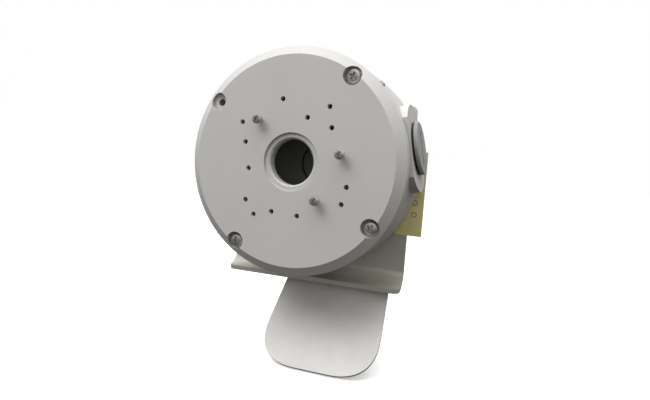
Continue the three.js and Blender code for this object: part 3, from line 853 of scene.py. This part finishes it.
class BOX_OT_strip(bpy.types.Operator):
    """Lays the marking strip on the plate's edge, its free side slightly lifted"""
    bl_idname = "junction_box.strip"
    bl_label = "Marking strip"

    def execute(self, context):
        low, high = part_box("marking_strip")
        size, centre = high - low, (low + high) / 2
        deselect()
        bpy.ops.mesh.primitive_grid_add(
            x_subdivisions=STRIP_COLUMNS, y_subdivisions=STRIP_ROWS, size=1,
            location=centre, rotation=(QUARTER_TURN, 0, 0))
        piece = bpy.context.object
        piece.scale = (size.x, size.z, 1)
        piece.name = piece.data.name = "strip"
        settle(piece)
        lift = STRIP_LIFT * size.y
        waves = piece.vertex_groups.new(name="waves")
        for vertex in piece.data.vertices:
            across = (vertex.co.x - low.x) / size.x
            wave = math.sin((vertex.co.z - low.z) / size.z * STRIP_WAVES * HALF_TURN)
            waves.add([vertex.index], 0.5 + 0.5 * across * across * wave, "REPLACE")
        apply_modifier(piece, "DISPLACE", vertex_group="waves", direction="Y",
                       strength=2 * lift, mid_level=0.0)
        moved(piece, Matrix.Translation((0, -lift, 0)))
        apply_modifier(piece, "SOLIDIFY", thickness=size.y * STRIP_THICKNESS, offset=0.0)
        clean(piece)
        rounded(piece, 0.0)
        finished(piece, "base", "yellow_strip", material_named("yellow_film"), "marking_strip")
        return {"FINISHED"}


# ------------------------------------------------------------------ pieces that keep their CAD shape

KEPT_FINISHES = {
    "black_rubber": ["cover_gasket", "side_plug_seal", "rear_gasket"],
    "white_nylon": ["screw_keeper_upper_right", "screw_keeper_lower_left", "screw_keeper_lower_right"],
    "brass": ["earth_screw", "earth_washer"],
    "screw_steel": [f"mount_{kind}_{number}" for kind in ("screw", "washer") for number in (1, 2, 3, 4)],
    "rivet_steel": ["leaf_rivet_1", "leaf_rivet_2", "leaf_rivet_3"],
}


class BOX_OT_inner_pieces(bpy.types.Operator):
    """Gives the gaskets, rings, terminal, mounting screws and rivets their finishes"""
    bl_idname = "junction_box.inner_pieces"
    bl_label = "Inner pieces"

    def execute(self, context):
        for finish, nodes in KEPT_FINISHES.items():
            for node in nodes:
                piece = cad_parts[node]
                for material_slot in piece.material_slots:
                    material_slot.material = material_named(finish)
        return {"FINISHED"}


# ------------------------------------------------------------------ stage

CAMERA_PLACE = Vector((114.96, -326.11, 2.03)) * MM
CAMERA_AXES = ((0.9404, -0.0940, 0.3267), (0.3322, 0.0494, -0.9419), (0.0724, 0.9943, 0.0776))
CAMERA_LENS = 27.69
SKY_LIGHT, GROUND_LIGHT = 1.12, 0.06
SKY_FROM, SKY_TO = -0.25, 0.75       # heights on the dome between which the light grows
LAMP_POWER = 9.0
KEY_PLACE, KEY_AIM, KEY_SIZE = (-0.5, -0.7, 0.9), (0, -0.03, 0), 0.7
TOP_PLACE, TOP_AIM, TOP_SIZE = (0.1, -0.1, 1.1), (0, 0, 0), 0.9
FLOOR_SIZE, FLOOR_GAP, FLOOR_GLOW = 12.0, 0.5 * MM, 0.2
FLAG_PLACE, FLAG_AIM = Vector((-0.10, -0.30, 0.20)), Vector((0, 0, -0.1))
FLAG_SIZE, FLAG_LIGHT = 0.34, 0.36


def make_world():
    """Soft dome: bright above, dark below, and plain white behind the object."""
    world = bpy.data.worlds.new("soft_dome")
    bpy.context.scene.world = world
    world.use_nodes = True
    tree = world.node_tree
    tree.nodes.clear()
    height = put(tree, "SeparateXYZ", {0: put(tree, "TexCoord").outputs["Generated"]}).outputs[2]
    strength = ranged(tree, height, SKY_FROM, SKY_TO, GROUND_LIGHT, SKY_LIGHT)
    light = put(tree, "Background", {"Color": (1.0, 0.99, 0.97, 1.0), "Strength": strength})
    seen = put(tree, "Background", {"Color": (1.0, 1.0, 1.0, 1.0), "Strength": 1.0})
    is_camera = put(tree, "LightPath").outputs["Is Camera Ray"]
    mixed = put(tree, "MixShader", {0: is_camera, 1: light.outputs[0], 2: seen.outputs[0]})
    output = put(tree, "OutputWorld")
    tree.links.new(mixed.outputs[0], output.inputs[0])


def area_light(name, place, target, size, power):
    """Square soft light aimed at a point."""
    deselect()
    bpy.ops.object.light_add(type="AREA", location=place)
    lamp = bpy.context.object
    lamp.name = name
    lamp.rotation_euler = (Vector(target) - Vector(place)).to_track_quat("-Z", "Y").to_euler()
    lamp.data.size = size
    lamp.data.energy = power
    return lamp


class BOX_OT_stage(bpy.types.Operator):
    """Sets the floor, the soft lights and the camera"""
    bl_idname = "junction_box.stage"
    bl_label = "Stage"

    def execute(self, context):
        scene = context.scene
        scene.view_settings.view_transform = "Standard"
        make_world()
        self.floor()
        key = area_light("key", KEY_PLACE, KEY_AIM, KEY_SIZE, LAMP_POWER)
        top = area_light("top", TOP_PLACE, TOP_AIM, TOP_SIZE, LAMP_POWER)
        key.visible_glossy = top.visible_glossy = False
        self.flag()
        bpy.ops.object.camera_add(location=CAMERA_PLACE)
        camera = context.object
        camera.matrix_world = Matrix.Translation(CAMERA_PLACE) @ Matrix(CAMERA_AXES).to_4x4()
        camera.data.sensor_width = 36.0
        camera.data.lens = CAMERA_LENS
        camera.data.clip_start = 0.01
        scene.camera = camera
        return {"FINISHED"}

    def floor(self):
        """White floor that glows a little and neither lights the object nor shows in it."""
        deselect()
        floor_height = cad_box[0][2] - FLOOR_GAP
        bpy.ops.mesh.primitive_plane_add(size=FLOOR_SIZE, location=(0, 0, floor_height))
        floor = bpy.context.object
        floor.name = "floor"
        material, tree, shader, vector = new_material("floor_white")
        shade = ranged(tree, noise(tree, vector, 3.0), 0.3, 0.7, 0.9, 0.93)
        tint = put(tree, "CombineColor", {0: shade, 1: shade, 2: shade})
        tree.links.new(tint.outputs[0], shader.inputs["Base Color"])
        shader.inputs["Roughness"].default_value = 0.9
        shader.inputs["Emission Color"].default_value = (1.0, 1.0, 1.0, 1.0)
        shader.inputs["Emission Strength"].default_value = FLOOR_GLOW
        floor.data.materials.append(material)
        floor.visible_diffuse = floor.visible_glossy = False

    def flag(self):
        """Glowing grey card above and in front of the object, seen only in reflections."""
        deselect()
        bpy.ops.mesh.primitive_plane_add(size=FLAG_SIZE, location=FLAG_PLACE)
        card = bpy.context.object
        card.name = "flag"
        card.rotation_euler = (FLAG_AIM - FLAG_PLACE).to_track_quat("Z", "Y").to_euler()
        material, _, shader, _ = new_material("flag_grey")
        shader.inputs["Base Color"].default_value = (0.0, 0.0, 0.0, 1.0)
        shader.inputs["Emission Color"].default_value = (1.0, 0.98, 0.95, 1.0)
        shader.inputs["Emission Strength"].default_value = FLAG_LIGHT
        card.data.materials.append(material)
        card.visible_camera = card.visible_diffuse = card.visible_shadow = False


# ------------------------------------------------------------------ panel and run

class BOX_PT_panel(bpy.types.Panel):
    """Lists the pieces and what can be changed"""
    bl_idname = "BOX_PT_panel"
    bl_label = "Junction box"
    bl_space_type = "VIEW_3D"
    bl_region_type = "UI"
    bl_category = "Junction box"

    def draw(self, context):
        for operator in OPERATORS:
            self.layout.operator(operator.bl_idname)
        for group in GROUPS:
            box = self.layout.box()
            owner = getattr(context.scene, group)
            for name in owner.bl_rna.properties.keys():
                if name not in ("rna_type", "name"):
                    box.prop(owner, name)


GROUPS = {"box_cover": CoverSizes, "box_screws": ScrewSizes, "box_entry": EntrySizes,
          "box_colours": Colours}
OPERATORS = (BOX_OT_cover, BOX_OT_cover_screws, BOX_OT_camera_screws, BOX_OT_housing,
             BOX_OT_side_plug, BOX_OT_bracket, BOX_OT_strip, BOX_OT_inner_pieces, BOX_OT_stage)


def register():
    """Adds the classes and the sizes that they hold."""
    for owner in (*GROUPS.values(), *OPERATORS, BOX_PT_panel):
        bpy.utils.register_class(owner)
    for name, owner in GROUPS.items():
        setattr(bpy.types.Scene, name, PointerProperty(type=owner))


def unregister():
    """Takes them away again."""
    for name in GROUPS:
        delattr(bpy.types.Scene, name)
    for owner in (BOX_PT_panel, *reversed(OPERATORS), *reversed(GROUPS.values())):
        bpy.utils.unregister_class(owner)


def main():
    """Builds every piece in order."""
    register()
    bpy.ops.junction_box.cover()
    bpy.ops.junction_box.cover_screws()
    bpy.ops.junction_box.camera_screws()
    bpy.ops.junction_box.housing()
    bpy.ops.junction_box.side_plug()
    bpy.ops.junction_box.bracket()
    bpy.ops.junction_box.strip()
    bpy.ops.junction_box.inner_pieces()
    bpy.ops.junction_box.stage()
    deselect()


if __name__ == "__main__":
    main()
